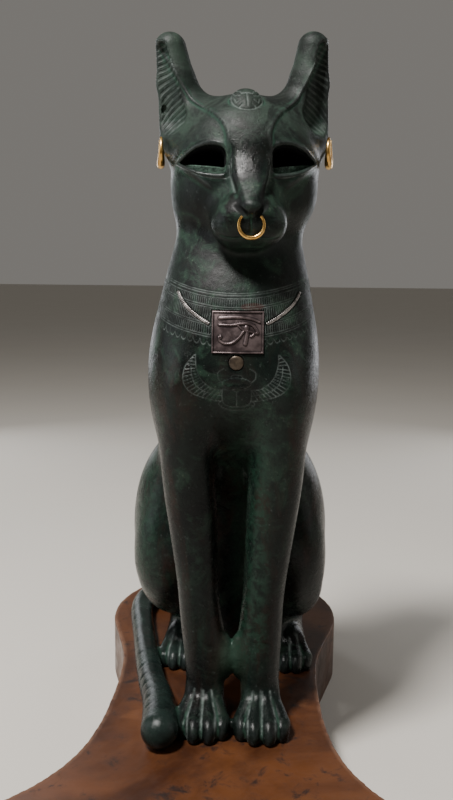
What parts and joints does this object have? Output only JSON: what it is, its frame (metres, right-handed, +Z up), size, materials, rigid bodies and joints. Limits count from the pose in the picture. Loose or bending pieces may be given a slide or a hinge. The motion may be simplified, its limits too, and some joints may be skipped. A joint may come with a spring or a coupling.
{
  "type": "cat figure",
  "caption": "Seated cat figure of dark hollow-cast bronze with gold nose ring and earrings, silver breast plaque and a waisted brown plinth.",
  "frame": {"origin": "centre of the overall box on the plinth's underside", "axes": "+Z up, the cat looks along -Y, +X is the viewer's right and the cat's left"},
  "size_m": [0.248, 0.383, 0.4649],
  "materials": {
    "bronze": "dark green and black patina, burnished",
    "gold": "polished gold",
    "silver": "tarnished silver",
    "copper": "dull brown bronze",
    "plinth": "polished mottled russet brown"
  },
  "bodies": {
    "root": {"cat_body": "bronze", "nose_ring": "gold", "earring_left": "gold", "earring_right": "gold", "breast_plaque": "silver", "cord_left": "silver", "cord_right": "silver", "sun_disc": "copper", "plinth": "plinth"}
  },
  "joints": []
}
